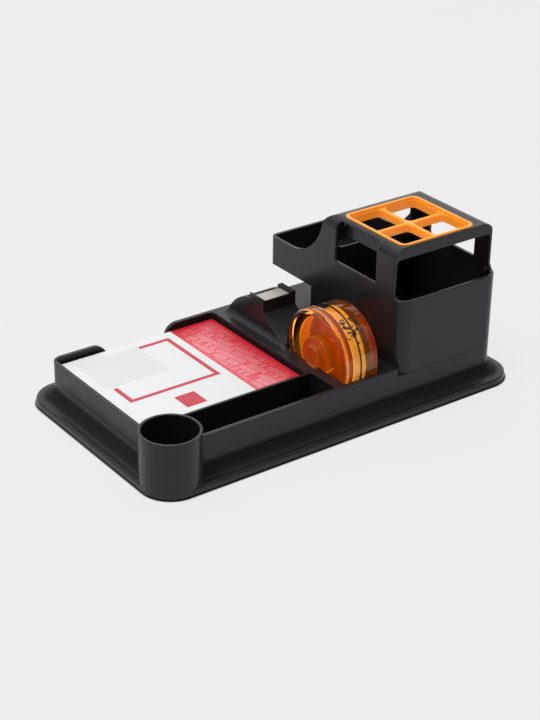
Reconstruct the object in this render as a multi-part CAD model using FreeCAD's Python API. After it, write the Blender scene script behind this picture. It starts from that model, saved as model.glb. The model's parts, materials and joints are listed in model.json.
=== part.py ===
import FreeCAD, Part
import math
import os

os.makedirs("parts", exist_ok=True)
V = FreeCAD.Vector

# Desk organizer: note tray, pen strip and clip cup on a flared base, a tape wheel with its cutter,
# and a pen tower with a scoop tray over a drawer.
# Millimetres. X runs from the note tray to the tower, Y from the cup to the drawer's side, Z up.
# The origin is the middle of the base, on the table.

# Loose things that set the trays' sizes
pad_length = 107.8
pad_width = 93.8
pad_end_gap = 1.75
pad_front_gap = 0.6
pad_back_gap = 2.2
backing_thickness = 1.0
sheets_thickness = 18.7
cover_thickness = 0.25

# Base in plan
flare_reach = 11.2
foot_corner_radius = 19.4
rim_wall = 2.6
strip_width = 22.4
strip_overrun = 2.1
divider_wall = 1.6
tray_ledge = 8.7
tower_ledge = 11.6
tub_wall = 2.0
pocket_corner_radius = 3.0
strip_start_share = 0.6

# Base in height
rubber_height = 1.2
shell_lift = 1.0
plate_thickness = 1.2
plate_gap = 0.3
tray_floor = 1.8
band_height = 4.8
band_round = 1.4
band_wall = 1.5
band_roof = 2.0
flare_radius = 9.5
rim_height = 27.6
deck_thickness = 2.2

# Clip cup
cup_outer_radius = 17.6
cup_wall = 1.6
cup_height = 34.5

# Finger notch behind the pad
notch_centre = 56.2
notch_width = 41.3
notch_height = 14.6
notch_shoulder_radius = 8.8
notch_foot_radius = 6.0

# Tape wheel and spindle
wheel_radius = 28.3
wheel_width = 24.2
wheel_gap = 0.7
wheel_side_gap = 0.8
wheel_rim = 2.8
wheel_edge_round = 1.3
wheel_web = 1.8
near_recess = 5.7
far_recess = 2.5
recess_draft = 3.2
hub_wall = 2.6
label_thickness = 0.7
fit_gap = 0.05
shaft_radius = 5.0
drum_radius = 11.8
drum_proud = 0.4
drum_groove_radius = 9.7
drum_groove_width = 0.8
drum_groove_depth = 0.5
stub_seat = 1.4
stub_length = 2.6
stub_wall = 1.5
stub_hollow = 1.2
cap_pin_radius = 3.0
cap_pin_length = 5.0
play = 0.2
cradle_post = 5.6
cradle_half_width = 9.0

# Cutter pedestal, holder and blade
blade_setback = 79.5
blade_length = 18.0
blade_depth = 10.0
blade_thickness = 0.6
tooth_pitch = 2.0
tooth_depth = 0.9
holder_depth = 9.4
holder_height = 4.3
holder_gap = 0.2
holder_peg_radius = 2.0
holder_peg_length = 1.6
near_cheek = 0.9
far_cheek = 3.4
cheek_depth = 13.7
pedestal_width = 24.0
pedestal_height = 49.3
front_ramp_height = 41.0
front_ramp_run = 27.3
front_ramp_sag = 2.2
rear_ramp_height = 46.0
rear_ramp_run = 23.4
rear_ramp_sag = 3.7
pedestal_skin = 2.2
pedestal_cove = 3.8

# Ballast
ballast_width = 18.0
ballast_depth = 38.0
ballast_gap = 0.3
ballast_collar_wall = 1.2
ballast_collar_height = 12.0

# Pen tower and scoop tray
tower_length = 75.2
tower_depth = 84.4
tower_seat = 4.9
tower_wall = 2.0
tower_floor = 2.0
tower_sill_height = 69.0
tower_top_height = 99.3
frame_setback = 8.0
frame_back_inset = 10.1
frame_corner_radius = 1.0
shoulder_radius = 3.0
frame_edge_radius = 7.0
frame_back_radius = 8.0
beam_height = 7.0
beam_skin = 2.0
scoop_underside = 48.0
scoop_floor = 2.2
scoop_rim_height = 66.5
scoop_rim_flat = 20.2
scoop_overhang = 1.2
scoop_corner_radius = 4.4
shadow_gap = 0.35
opening_corner_radius = 3.0
near_window_front = 23.9
far_window_front = 21.0
side_window_back = 62.0
side_window_height = 25.1
side_window_top_drop = 1.2
side_window_low_radius = 1.5
side_window_top_radius = 2.5
back_window_side = 7.3
back_window_height = 19.0
back_window_top_drop = 6.0
back_window_low_radius = 9.0
back_window_top_radius = 2.0

# Pen grid
grid_size = 55.5
grid_side = 7.2
grid_front = 1.6
grid_lip = 0.8
grid_overlap = 1.1
grid_rim = 2.5
grid_step = 0.4
grid_bar = 3.0
grid_bar_drop = 1.8
grid_depth = 6.0
grid_gap = 0.2
grid_corner_radius = 5.0
grid_cell_radius = 3.0
collar_wall = 1.6
rib_depth = 10.9

# Drawer
bay_wall = 3.0
drawer_gap = 0.4
drawer_lift = 0.3
drawer_wall = 1.6
drawer_corner_radius = 3.0
drawer_back_gap = 2.0
finger_radius = 9.0
finger_depth = 6.0
finger_run = 10.0

# Feet and screws
rubber_radius = 6.5
rubber_inset = 21.0
base_screw_inset = 8.6
base_screw_radius = 1.2
base_screw_head_radius = 2.6
base_screw_head = 1.0
base_screw_length = 3.2
base_screw_boss = 3.0
front_screw_shares = (0.2, 0.5, 0.8)
back_screw_shares = (0.12, 0.37, 0.6)
side_screw_share = 0.52
screw_gap = 0.02
screw_hole_gap = 0.2
tower_screw_radius = 1.4
tower_screw_head_radius = 2.8
tower_screw_inset = 5.5
tower_screw_reach = 5.0
tower_boss_radius = 3.4
tower_boss_height = 6.0

# Cutting tools run past what they cut by this much, and points closer than the smallest length are one
overrun = 5.0
smallest = 0.001

# Places along X, from left to right
tray_length = pad_length + 2 * pad_end_gap
well_length = wheel_width + 2 * wheel_side_gap
inner_length = rim_wall + tray_length + tray_ledge + well_length + tower_ledge + tower_length
base_length = inner_length + 2 * flare_reach
base_left = -base_length / 2
wall_left = base_left + flare_reach
wall_right = -wall_left
tray_left = wall_left + rim_wall
tray_right = tray_left + tray_length
strip_right = tray_right + strip_overrun
well_left = tray_right + tray_ledge
well_right = well_left + well_length
wheel_left = well_left + wheel_side_gap
wheel_right = wheel_left + wheel_width
tower_left = wall_right - tower_length
tower_right = wall_right

# Places along Y, from front to back
tray_width = pad_front_gap + pad_width + pad_back_gap
base_width = 2 * (flare_reach + rim_wall) + strip_width + divider_wall + tray_width
base_front = -base_width / 2
wall_front = base_front + flare_reach
wall_back = -wall_front
strip_front = wall_front + rim_wall
strip_back = strip_front + strip_width
tray_front = strip_back + divider_wall
tray_back = tray_front + tray_width
well_radius = wheel_radius + wheel_gap
axis_y = strip_front + well_radius
blade_front = strip_front + blade_setback
drawer_split = wall_back - rim_wall
frame_front = wall_front + frame_setback
tower_back = wall_front + tower_depth
scoop_back = wall_back + scoop_overhang
frame_back = tower_back - frame_back_inset

# Heights over the table
plate_top = rubber_height + plate_thickness
floor_top = plate_top + tray_floor
axis_z = floor_top + well_radius
deck_under = rim_height - deck_thickness
tower_foot = rim_height - tower_seat
bay_floor = band_height
bay_roof = tower_foot - tower_floor
stub_radius = axis_z - rim_height + stub_seat
wall_corner_radius = foot_corner_radius - flare_reach
cup_x = base_left + cup_outer_radius
cup_y = base_front + cup_outer_radius


def unit(vector):
    return FreeCAD.Vector(vector).normalize()


def rounded(corners):
    """Outline steps of a polygon given as (u, v, radius) corners."""
    steps = []
    for index, (u, v, radius) in enumerate(corners):
        corner = V(u, v, 0)
        if radius == 0:
            steps.append((u, v))
            continue
        before = corners[index - 1]
        after = corners[(index + 1) % len(corners)]
        towards_before = unit(V(before[0], before[1], 0) - corner)
        towards_after = unit(V(after[0], after[1], 0) - corner)
        half_angle = towards_before.getAngle(towards_after) / 2
        reach = radius / math.tan(half_angle)
        start = corner + towards_before * reach
        end = corner + towards_after * reach
        middle = corner + unit(towards_before + towards_after) * (radius / math.sin(half_angle) - radius)
        steps.append((start.x, start.y))
        steps.append((middle.x, middle.y, end.x, end.y))
    return steps


def sagged(start, end, sag):
    """Arc step from start to end, bowed to the right of its chord by sag."""
    chord = V(end[0] - start[0], end[1] - start[1], 0)
    middle = V(start[0] + end[0], start[1] + end[1], 0) / 2
    bow = unit(V(chord.y, -chord.x, 0)) * sag
    return (middle.x + bow.x, middle.y + bow.y, end[0], end[1])


def face(steps, place):
    """Face inside an outline: (u, v) draws a line to that point, (um, vm, u, v) an arc through the first."""
    first = place(*steps[0])
    here = first
    edges = []
    for step in steps[1:] + [steps[0]]:
        there = place(*step[-2:])
        if len(step) == 4:
            edges.append(Part.Arc(here, place(*step[:2]), there).toShape())
        elif here.distanceToPoint(there) > smallest:
            edges.append(Part.makeLine(here, there))
        here = there
    return Part.Face(Part.Wire(edges))


def plan_prism(steps, low, high):
    return face(steps, lambda x, y: V(x, y, low)).extrude(V(0, 0, high - low))


def side_prism(steps, left, right):
    return face(steps, lambda y, z: V(left, y, z)).extrude(V(right - left, 0, 0))


def front_prism(steps, front, back):
    return face(steps, lambda x, z: V(x, front, z)).extrude(V(0, back - front, 0))


def block(left, right, front, back, low, high):
    return Part.makeBox(right - left, back - front, high - low, V(left, front, low))


def rounded_block(left, right, front, back, low, high, radius):
    """Upright block with its four vertical corners rounded."""
    plan = [(left, front, radius), (right, front, radius), (right, back, radius), (left, back, radius)]
    return plan_prism(rounded(plan), low, high)


def post(x, y, low, high, radius):
    return Part.makeCylinder(radius, high - low, V(x, y, low))


def axle(left, right, radius):
    """Cylinder about the wheel's axis."""
    return Part.makeCylinder(radius, right - left, V(left, axis_y, axis_z), V(1, 0, 0))


def turned(steps):
    """Solid turned about the wheel's axis from steps in (x, radius)."""
    section = face(steps, lambda x, radius: V(x, axis_y, axis_z + radius))
    return section.revolve(V(0, axis_y, axis_z), V(1, 0, 0), 360)


def export(name, shape):
    solids = len(shape.Solids)
    print(name, "solids", solids, "volume", round(shape.Volume), "valid", shape.isValid())
    shape.exportStep("parts/" + name + ".step")


def foot_outline(inset):
    """Base outline drawn in from the foot's edge; its front left corner follows the cup."""
    x = base_left + inset
    y = base_front + inset
    wide = foot_corner_radius - inset
    return rounded([(x, y, cup_outer_radius - inset), (-x, y, wide), (-x, -y, wide), (x, -y, wide)])


def flared_mass(edge_inset, wall_inset, low, step, top, flare):
    """Foot slab up to step with the wall on it up to top, joined by a hollow flare."""
    slab = plan_prism(foot_outline(edge_inset), low, step)
    wall = plan_prism(foot_outline(wall_inset), low, top)
    mass = slab.fuse(wall).removeSplitter()
    reach = wall.BoundBox
    reach.enlarge(smallest)
    joint = [edge for edge in mass.Edges if at_height(edge, step) and reach.isInside(edge.BoundBox)]
    return mass.makeFillet(flare, joint)


def at_height(edge, height):
    return abs(edge.BoundBox.ZMin - height) < smallest and abs(edge.BoundBox.ZMax - height) < smallest


def outer_mass():
    """Outside of the base with its flare and the soft edge over its foot band."""
    mass = flared_mass(0, flare_reach, shell_lift, band_height, rim_height, flare_radius)
    inside = FreeCAD.BoundBox(base_left + band_round, base_front + band_round, 0,
                              -base_left - band_round, -base_front - band_round, rim_height)
    rim = [edge for edge in mass.Edges if at_height(edge, band_height) and not inside.isInside(edge.BoundBox)]
    return mass.makeFillet(band_round, rim)


def inner_mass():
    """Hollow under the base, one skin inside it."""
    flare = flare_radius + (band_roof + rim_wall) / 2
    return flared_mass(band_wall, flare_reach + rim_wall, 0, band_height - band_roof, deck_under, flare)


def base_screw_places():
    x = base_left + base_screw_inset
    y = base_front + base_screw_inset
    front_row = [(base_left + share * base_length, y) for share in front_screw_shares]
    back_row = [(base_left + share * base_length, -y) for share in back_screw_shares]
    side_y = base_front + side_screw_share * base_width
    return front_row + back_row + [(x, side_y), (-x, side_y)]


def tower_screw_places():
    x = tower_left + tower_wall + tower_screw_inset
    far_x = tower_right - tower_wall - tower_screw_inset
    y = wall_front + tower_wall + tower_screw_inset
    far_y = tower_back - tower_wall - tower_screw_inset
    return [(x, y), (far_x, y), (x, far_y), (far_x, far_y)]


def ballast_place():
    """Middle of the ballast: under the pedestal, behind the wheel well."""
    x = (well_left + well_right) / 2
    y = axis_y + well_radius + tray_floor + ballast_collar_wall + ballast_gap + ballast_depth / 2
    return x, y


def kept_inside():
    """What stays solid in the hollow: the trays' tubs, the well, the drawer's bay, bosses and collar."""
    cup_tub = post(cup_x, cup_y, plate_top, rim_height, cup_outer_radius)
    tray_tub = block(tray_left - tub_wall, tray_right + tub_wall, tray_front - tub_wall,
                     tray_back + tub_wall, plate_top, rim_height)
    strip_tub = block(cup_x, strip_right + tub_wall, wall_front, strip_back + tub_wall, plate_top, rim_height)
    well_tub = axle(well_left - tub_wall, well_right + tub_wall, well_radius + tray_floor)
    bay_tub = block(tower_left, tower_right, wall_front, wall_back, plate_top, rim_height)
    post_low = rim_height - cradle_post
    left_post = block(well_left - cradle_post, well_left, axis_y - cradle_half_width,
                      axis_y + cradle_half_width, post_low, rim_height)
    right_post = block(well_right, well_right + cradle_post, axis_y - cradle_half_width,
                       axis_y + cradle_half_width, post_low, rim_height)
    bosses = [post(x, y, plate_top, rim_height, base_screw_boss) for x, y in base_screw_places()]
    x, y = ballast_place()
    half_x = ballast_width / 2 + ballast_gap
    half_y = ballast_depth / 2 + ballast_gap
    wall = ballast_collar_wall
    collar = block(x - half_x - wall, x + half_x + wall, y - half_y - wall, y + half_y + wall,
                   deck_under - ballast_collar_height, rim_height)
    collar = collar.cut(block(x - half_x, x + half_x, y - half_y, y + half_y, 0, deck_under))
    return [cup_tub, tray_tub, strip_tub, well_tub, bay_tub, left_post, right_post, collar] + bosses


def pedestal():
    """Cutter pedestal: a ramp up from the wheel, two cheeks beside the seat, and a ramp down behind."""
    front = blade_front
    back = blade_front + cheek_depth
    ramp_start = (front - front_ramp_run, rim_height)
    ramp_end = (back + rear_ramp_run, rim_height)
    outline = [
        (ramp_start[0], deck_under),
        ramp_start,
        sagged(ramp_start, (front, front_ramp_height), front_ramp_sag),
        (front, pedestal_height),
        (back, pedestal_height),
        (back, rear_ramp_height),
        sagged((back, rear_ramp_height), ramp_end, -rear_ramp_sag),
        (ramp_end[0], deck_under),
    ]
    body = side_prism(outline, well_left, well_left + pedestal_width)
    foot = well_left - pedestal_cove
    corner = (1 - math.sqrt(0.5)) * pedestal_cove
    cove = front_prism([
        (foot, deck_under),
        (foot, rim_height),
        (foot + pedestal_cove - corner, rim_height + corner, well_left, rim_height + pedestal_cove),
        (well_left, deck_under),
    ], ramp_start[0], ramp_end[0])
    return body.fuse(cove.common(side_prism(outline, foot, well_left)))


def holder_seat():
    """Height of the seat between the cheeks."""
    return pedestal_height - blade_thickness - holder_height - holder_gap - play


def holder_span():
    """Left and right of the holder between the cheeks."""
    return well_left + near_cheek + holder_gap, well_left + pedestal_width - far_cheek - holder_gap


def holder_pegs(radius, length):
    """Two pegs that key the holder to its seat."""
    left, right = holder_span()
    x = (left + right) / 2
    reach = blade_length / 4
    y = blade_front + holder_depth / 2
    seat = holder_seat()
    return [post(x + side * reach, y, seat - length, seat, radius) for side in (-1, 1)]


def pedestal_cuts():
    """Channel between the cheeks, the peg holes, and the core under the seat."""
    seat = holder_seat()
    back = blade_front + cheek_depth
    channel = block(well_left + near_cheek, well_left + pedestal_width - far_cheek,
                    blade_front - overrun, back + overrun, seat, pedestal_height + overrun)
    core = block(well_left + pedestal_skin, well_left + pedestal_width - pedestal_skin,
                 blade_front + pedestal_skin, back - pedestal_skin, deck_under - smallest,
                 seat - pedestal_skin)
    pegs = holder_pegs(holder_peg_radius + fit_gap, holder_peg_length + play)
    return [channel, core] + pegs


def well_cut():
    """Round well for the wheel, open straight up."""
    well = axle(well_left, well_right, well_radius)
    way_up = block(well_left, well_right, axis_y - well_radius, axis_y + well_radius,
                   axis_z, pedestal_height + well_radius)
    return well.fuse(way_up)


def cradle_cut():
    """Half-round seats for the two ends of the spindle."""
    reach = drum_to_stub_end() + play
    return axle(wheel_left - reach, wheel_right + reach, stub_radius + fit_gap)


def drum_to_stub_end():
    return drum_proud + stub_length


def notch_cut():
    """Finger notch in the back wall, wide at the rim with round shoulders."""
    middle = tray_left + notch_centre
    left = middle - notch_width / 2
    right = middle + notch_width / 2
    shoulder = notch_shoulder_radius
    over = rim_height + overrun
    outline = rounded([
        (left - shoulder, over, 0),
        (left - shoulder, rim_height, 0),
        (left, rim_height, shoulder),
        (left, notch_height, notch_foot_radius),
        (right, notch_height, notch_foot_radius),
        (right, rim_height, shoulder),
        (right + shoulder, rim_height, 0),
        (right + shoulder, over, 0),
    ])
    return front_prism(outline, tray_back - overrun, wall_back + overrun)


def bay_box(gap, lift, back):
    """The drawer's bay, drawn in by gap at its sides and top and by lift at its floor."""
    return block(tower_left + bay_wall + gap, tower_right - bay_wall - gap,
                 wall_front + bay_wall + gap, back, bay_floor + lift, bay_roof - gap)


def tower_plan(inset, low, high):
    """Tower's lower outline, drawn in by inset."""
    left = tower_left + inset
    right = tower_right - inset
    wide = wall_corner_radius - inset
    narrow = scoop_corner_radius - inset
    front = wall_front + inset
    back = scoop_back - inset
    return plan_prism(rounded([(left, front, wide), (right, front, wide), (right, back, narrow),
                               (left, back, narrow)]), low, high)


def base_shell(outer):
    hollow = inner_mass()
    for kept in kept_inside():
        hollow = hollow.cut(kept)
    shell = outer.fuse(post(cup_x, cup_y, shell_lift, cup_height, cup_outer_radius))
    shell = shell.cut(hollow)
    shell = shell.fuse(pedestal()).removeSplitter()
    over = pedestal_height + overrun
    strip = rounded_block(cup_x + strip_start_share * cup_outer_radius, strip_right, strip_front,
                          strip_back, floor_top, over, pocket_corner_radius)
    cup_body = post(cup_x, cup_y, shell_lift, over, cup_outer_radius)
    cuts = [
        rounded_block(tray_left, tray_right, tray_front, tray_back, floor_top, over, pocket_corner_radius),
        strip.cut(cup_body),
        post(cup_x, cup_y, floor_top, over, cup_outer_radius - cup_wall),
        well_cut(),
        cradle_cut(),
        notch_cut(),
        bay_box(0, 0, -base_front + overrun),
        block(tower_left, tower_right + overrun, wall_front - overrun, tower_back, tower_foot, over),
    ]
    cuts += pedestal_cuts()
    for x, y in base_screw_places():
        cuts.append(post(x, y, 0, rubber_height + base_screw_length, base_screw_radius + screw_gap))
    for x, y in tower_screw_places():
        cuts.append(post(x, y, bay_roof - overrun / 2, tower_foot, tower_screw_radius + screw_hole_gap))
        cuts.append(screw_cone(x, y, play))
    return shell.cut(cuts).removeSplitter()


def screw_cone(x, y, gap):
    """Countersunk head of a tower screw, flush with the roof of the bay."""
    height = tower_screw_head_radius - tower_screw_radius
    return Part.makeCone(tower_screw_head_radius + gap, tower_screw_radius + gap, height, V(x, y, bay_roof))


def sweep():
    """Centre and radius of the long sweep behind the frame, and the centre of the crown that meets it."""
    sweep_y = scoop_back - scoop_rim_flat
    sweep_radius = sweep_y - frame_back
    sweep_z = scoop_rim_height + sweep_radius
    crown_z = tower_top_height - frame_back_radius
    apart = math.sqrt((sweep_radius + frame_back_radius) ** 2 - (sweep_z - crown_z) ** 2)
    return sweep_y, sweep_z, sweep_radius, sweep_y - apart, crown_z


def tower_profile():
    """Tower and scoop tray from the side: set-back frame over the sill, and the long sweep behind it."""
    sweep_centre, sweep_z, sweep_radius, crown_y, crown_z = sweep()
    drop = sweep_z - crown_z
    apart = sweep_centre - crown_y
    crown_share = frame_back_radius / (sweep_radius + frame_back_radius)
    join_y = crown_y + crown_share * apart
    join_z = crown_z + crown_share * drop
    turn = (math.atan2(drop, apart) + math.pi / 2) / 2
    front = rounded([
        (wall_front, tower_foot, 0),
        (wall_front, tower_sill_height, shadow_gap),
        (frame_front, tower_sill_height, shoulder_radius),
        (frame_front, tower_top_height, shadow_gap),
        (crown_y, tower_top_height, 0),
    ])
    return front + [
        (crown_y + frame_back_radius * math.cos(turn), crown_z + frame_back_radius * math.sin(turn),
         join_y, join_z),
        (sweep_centre - sweep_radius * math.cos(turn), sweep_z - sweep_radius * math.sin(turn),
         sweep_centre, scoop_rim_height),
        (scoop_back, scoop_rim_height),
        (scoop_back, scoop_underside),
        (tower_back, scoop_underside),
        (tower_back, tower_foot),
    ]


def tower_mass():
    """Outside of the tower: the side outline, the two plan outlines and the rounded top edges in one."""
    side = side_prism(tower_profile(), tower_left, tower_right)
    split = tower_sill_height + shoulder_radius
    over = tower_top_height + overrun
    low = tower_plan(0, tower_foot, split)
    high = plan_prism(rounded([
        (tower_left, frame_front, frame_corner_radius),
        (tower_right, frame_front, frame_corner_radius),
        (tower_right, scoop_back, scoop_corner_radius),
        (tower_left, scoop_back, scoop_corner_radius),
    ]), split, over)
    top = front_prism(rounded([
        (tower_left, tower_foot, 0),
        (tower_right, tower_foot, 0),
        (tower_right, tower_top_height, frame_edge_radius),
        (tower_left, tower_top_height, frame_edge_radius),
    ]), wall_front - overrun, scoop_back + overrun)
    return side.common(low.fuse(high)).common(top).removeSplitter()


def grid_place():
    """Left, right, front and back of the pen grid's lip."""
    left = tower_left + grid_side
    front = frame_front + grid_front
    return left, left + grid_size, front, front + grid_size


def grid_block(inset, low, high):
    left, right, front, back = grid_place()
    return rounded_block(left + inset, right - inset, front + inset, back - inset, low, high,
                         grid_corner_radius - inset)


def window(left, right, low, high, low_radius, high_radius):
    """Outline of an opening, with its corners no rounder than its sides allow."""
    most = min(right - left, high - low) / 2
    low_radius = min(low_radius, most)
    high_radius = min(high_radius, most)
    return rounded([(left, low, low_radius), (right, low, low_radius), (right, high, high_radius),
                    (left, high, high_radius)])


def tower_cuts():
    """Pen pocket, scoop, the hole for the grid, and the openings on all four sides."""
    left = tower_left + tower_wall
    right = tower_right - tower_wall
    floor = tower_foot + tower_floor
    beam_under = tower_top_height - beam_height
    skin_under = tower_top_height - beam_skin
    crown_y = sweep()[3]
    crown_radius = frame_back_radius - tower_wall
    inner_back = crown_y + crown_radius
    pocket = tower_plan(tower_wall, floor, tower_sill_height)
    pocket = pocket.common(block(left, right, wall_front, inner_back, floor, tower_sill_height))
    rear_pocket = block(left, right, inner_back - overrun, tower_back - tower_wall, floor, scoop_underside)
    inner_front = frame_front + tower_wall
    upper = side_prism(rounded([
        (inner_front, tower_sill_height - smallest, 0),
        (inner_back, tower_sill_height - smallest, 0),
        (inner_back, skin_under, crown_radius),
        (inner_front, skin_under, 0),
    ]), left, right)
    upper = upper.common(front_prism(rounded([
        (left, tower_foot, 0),
        (right, tower_foot, 0),
        (right, skin_under, frame_edge_radius - tower_wall),
        (left, skin_under, frame_edge_radius - tower_wall),
    ]), inner_front, inner_back))
    place = grid_place()
    collar_inset = grid_overlap - grid_gap - collar_wall
    collar = grid_block(collar_inset, tower_top_height - grid_depth, tower_top_height)
    rib_left = place[0] + collar_inset
    rib = block(rib_left, rib_left + collar_wall, place[2] + grid_corner_radius,
                place[3] - grid_corner_radius, tower_top_height - rib_depth, tower_top_height)
    upper = upper.cut([collar, rib])
    hole = grid_block(grid_overlap - grid_gap, tower_top_height - grid_depth - overrun,
                      tower_top_height + overrun)
    scoop_low = scoop_underside + scoop_floor
    scoop = tower_plan(tower_wall, scoop_low, tower_top_height + overrun)
    scoop = scoop.common(block(left, right, frame_back, scoop_back, scoop_low, tower_top_height + overrun))
    front_opening = front_prism(window(left, right, tower_sill_height, beam_under, opening_corner_radius,
                                       opening_corner_radius), wall_front - overrun,
                                frame_front + tower_wall + smallest)
    sill_gap = block(left, right, wall_front - overrun, frame_front, tower_sill_height, beam_under)
    window_back = wall_front + side_window_back
    window_top = tower_top_height - side_window_top_drop
    window_sill = window_top - side_window_height
    near_window = side_prism(window(wall_front + near_window_front, window_back, window_sill,
                                    window_top, side_window_low_radius, side_window_top_radius),
                             tower_left - overrun, rib_left)
    far_window = side_prism(window(wall_front + far_window_front, window_back, window_sill,
                                   window_top, side_window_low_radius, side_window_top_radius),
                            right - smallest, tower_right + overrun)
    back_top = tower_top_height - back_window_top_drop
    back_window = front_prism(window(tower_left + back_window_side, tower_right - back_window_side,
                                     back_top - back_window_height, back_top,
                                     back_window_low_radius, back_window_top_radius),
                              inner_back - smallest, frame_back + overrun)
    return [pocket, rear_pocket, upper, hole, scoop, front_opening, sill_gap, near_window, far_window,
            back_window]


def tower_shell():
    shell = tower_mass().cut(tower_cuts())
    floor = tower_foot + tower_floor
    for x, y in tower_screw_places():
        shell = shell.fuse(post(x, y, tower_foot, floor + tower_boss_height, tower_boss_radius))
    shell = shell.removeSplitter()
    pilots = [post(x, y, tower_foot - overrun, floor + tower_screw_reach, tower_screw_radius + screw_gap)
              for x, y in tower_screw_places()]
    return shell.cut(pilots)


def pen_grid():
    """Lip on the tower's top, frame in its hole, four cells with the cross between them set down."""
    top = tower_top_height + grid_lip
    low = tower_top_height - grid_depth
    body = grid_block(0, tower_top_height, top).fuse(grid_block(grid_overlap, low, top)).removeSplitter()
    left = grid_place()[0]
    front = grid_place()[2]
    cell = (grid_size - 2 * grid_rim - grid_bar) / 2
    cells = [grid_block(grid_rim - grid_step, top - grid_bar_drop, top + overrun)]
    for column in range(2):
        for row in range(2):
            x = left + grid_rim + column * (cell + grid_bar)
            y = front + grid_rim + row * (cell + grid_bar)
            cells.append(rounded_block(x, x + cell, y, y + cell, low - overrun, top + overrun,
                                       grid_cell_radius))
    return body.cut(cells)


def wheel_half(side, seam, recess):
    """Half of the wheel: rim, web set back by recess, and the hub's tube, up to the seam."""
    inward = 1 if seam > side else -1
    web_outer = side + inward * recess
    web_inner = web_outer + inward * wheel_web
    rim_inner = wheel_radius - wheel_rim
    bore = shaft_radius + fit_gap
    return turned(rounded([
        (side, rim_inner, 0),
        (side, wheel_radius, wheel_edge_round),
        (seam, wheel_radius, 0),
        (seam, rim_inner, 0),
        (web_inner, rim_inner, 0),
        (web_inner, bore + hub_wall, 0),
        (seam, bore + hub_wall, 0),
        (seam, bore, 0),
        (web_outer, bore, 0),
        (web_outer, rim_inner - recess_draft, 0),
    ]))


def wheel_label():
    """Sleeve inside the rim, between the two webs."""
    left = wheel_left + near_recess + wheel_web
    right = wheel_right - far_recess - wheel_web
    outer = wheel_radius - wheel_rim - fit_gap
    return axle(left, right, outer).cut(axle(left, right, outer - label_thickness))


def spindle_end(side, outward, inner):
    """Drum in the wheel's recess with a ring groove, and the hollow stub that lies in the cradle."""
    outer = side + outward * drum_proud
    end = outer + outward * stub_length
    stub_bore = stub_radius - stub_wall
    floor = end - outward * stub_hollow
    groove_floor = outer - outward * drum_groove_depth
    groove_inner = drum_groove_radius - drum_groove_width
    return turned([
        (inner, 0),
        (inner, drum_radius),
        (outer, drum_radius),
        (outer, drum_groove_radius),
        (groove_floor, drum_groove_radius),
        (groove_floor, groove_inner),
        (outer, groove_inner),
        (outer, stub_radius),
        (end, stub_radius),
        (end, stub_bore),
        (floor, stub_bore),
        (floor, 0),
    ])


def spindle_core():
    inner = wheel_left + near_recess - play
    end = wheel_right - far_recess + play
    core = spindle_end(wheel_left, -1, inner).fuse(axle(inner, end, shaft_radius)).removeSplitter()
    return core.cut(axle(end - cap_pin_length - play, end, cap_pin_radius + screw_gap))


def spindle_cap():
    inner = wheel_right - far_recess + play
    pin = axle(inner - cap_pin_length, inner, cap_pin_radius)
    return spindle_end(wheel_right, 1, inner).fuse(pin).removeSplitter()


def blade_holder():
    seat = holder_seat()
    left, right = holder_span()
    body = block(left, right, blade_front, blade_front + holder_depth, seat, seat + holder_height)
    for peg in holder_pegs(holder_peg_radius, holder_peg_length):
        body = body.fuse(peg)
    return body.removeSplitter()


def cutter_blade():
    """Flat steel strip with a row of teeth along its back edge."""
    left = holder_span()[0]
    right = left + blade_length
    root = blade_front + blade_depth - tooth_depth
    teeth = max(1, round(blade_length / tooth_pitch))
    pitch = blade_length / teeth
    outline = [(left, blade_front), (right, blade_front), (right, root)]
    for tooth in range(teeth):
        x = right - tooth * pitch
        outline.append((x - pitch / 2, root + tooth_depth))
        outline.append((x - pitch, root))
    low = holder_seat() + holder_height
    return plan_prism(outline, low, low + blade_thickness)


def pad_layer(low, thickness):
    front = tray_front + pad_front_gap
    return block(tray_left + pad_end_gap, tray_right - pad_end_gap, front, front + pad_width,
                 low, low + thickness)


def drawer_reach():
    """Left, right, low and high of the drawer in its bay."""
    left = tower_left + bay_wall + drawer_gap
    right = tower_right - bay_wall - drawer_gap
    return left, right, bay_floor + drawer_lift, bay_roof - drawer_gap


def finger_cut():
    """Round notch in the drawer's top edge, through its back wall and its front."""
    left, right = drawer_reach()[:2]
    high = drawer_reach()[3]
    place = V((left + right) / 2, drawer_split - finger_run, high + finger_radius - finger_depth)
    return Part.makeCylinder(finger_radius, base_width, place, V(0, 1, 0))


def drawer_tray():
    left, right, low, high = drawer_reach()
    front = wall_front + bay_wall + drawer_back_gap
    body = block(left, right, front, drawer_split, low, high)
    pocket = rounded_block(left + drawer_wall, right - drawer_wall, front + drawer_wall,
                           drawer_split - drawer_wall, low + drawer_wall, high + overrun,
                           drawer_corner_radius)
    return body.cut([pocket, finger_cut()])


def drawer_front(outer):
    """Front that carries on the wall and the flare, with the finger notch in its top edge."""
    left, right, low, high = drawer_reach()
    body = outer.common(block(left, right, drawer_split, -base_front + overrun, low, high))
    return body.cut(finger_cut())


def bottom_plate():
    plate = plan_prism(foot_outline(band_wall + plate_gap), rubber_height, plate_top)
    holes = [post(x, y, 0, plate_top + overrun, base_screw_radius + screw_hole_gap)
             for x, y in base_screw_places()]
    return plate.cut(holes)


def base_screws():
    screws = []
    for x, y in base_screw_places():
        head = post(x, y, rubber_height - base_screw_head, rubber_height, base_screw_head_radius)
        shank = post(x, y, rubber_height, rubber_height + base_screw_length, base_screw_radius)
        screws.append(head.fuse(shank).removeSplitter())
    return Part.makeCompound(screws)


def tower_screws():
    screws = []
    end = tower_foot + tower_floor + tower_screw_reach
    for x, y in tower_screw_places():
        shank = post(x, y, bay_roof, end, tower_screw_radius)
        screws.append(screw_cone(x, y, 0).fuse(shank).removeSplitter())
    return Part.makeCompound(screws)


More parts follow.
